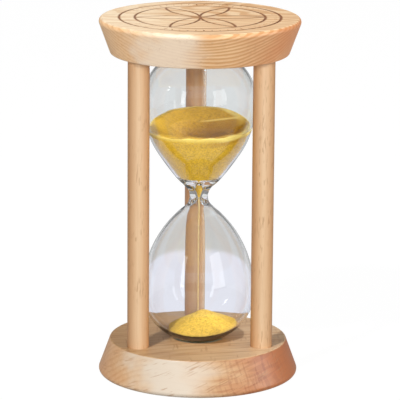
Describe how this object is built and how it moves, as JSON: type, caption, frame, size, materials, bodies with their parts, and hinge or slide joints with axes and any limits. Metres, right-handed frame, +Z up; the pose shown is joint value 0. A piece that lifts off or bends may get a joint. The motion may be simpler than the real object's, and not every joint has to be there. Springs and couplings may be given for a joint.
{
  "type": "hourglass",
  "caption": "Sand timer: a blown glass body with golden sand between two flared beech plates on beech posts.",
  "frame": {"origin": "centre of the base plate's outer face, on the surface that the timer stands on", "axes": "+Z up along the glass, from the base plate to the top plate; +Y towards the rear post; +X to the right, seen from the side with the two front posts"},
  "size_m": [0.085, 0.085, 0.154],
  "materials": {
    "plate_wood": "sanded and waxed beech, engraved lines scorched brown",
    "post_wood": "sanded and waxed beech dowel",
    "bulb_glass": "clear blown glass",
    "sand": "fine golden grains",
    "felt": "pressed grey-green felt",
    "bung": "soft translucent white silicone"
  },
  "bodies": {
    "frame": {"base_plate": "plate_wood", "top_plate": "plate_wood", "post_left": "post_wood", "post_right": "post_wood", "post_rear": "post_wood", "lower_pad": "felt", "upper_pad": "felt"},
    "glass": {"lower_bulb": "bulb_glass", "upper_bulb": "bulb_glass", "filler_plug": "bung", "upper_sand": "sand", "sand_stream": "sand", "lower_sand": "sand"}
  },
  "joints": [
    {"name": "glass_turn", "type": "hinge", "parent": "frame", "child": "glass", "pos_m": [0, 0, 0.077], "axis": [0, 0, 1], "continuous": true}
  ]
}
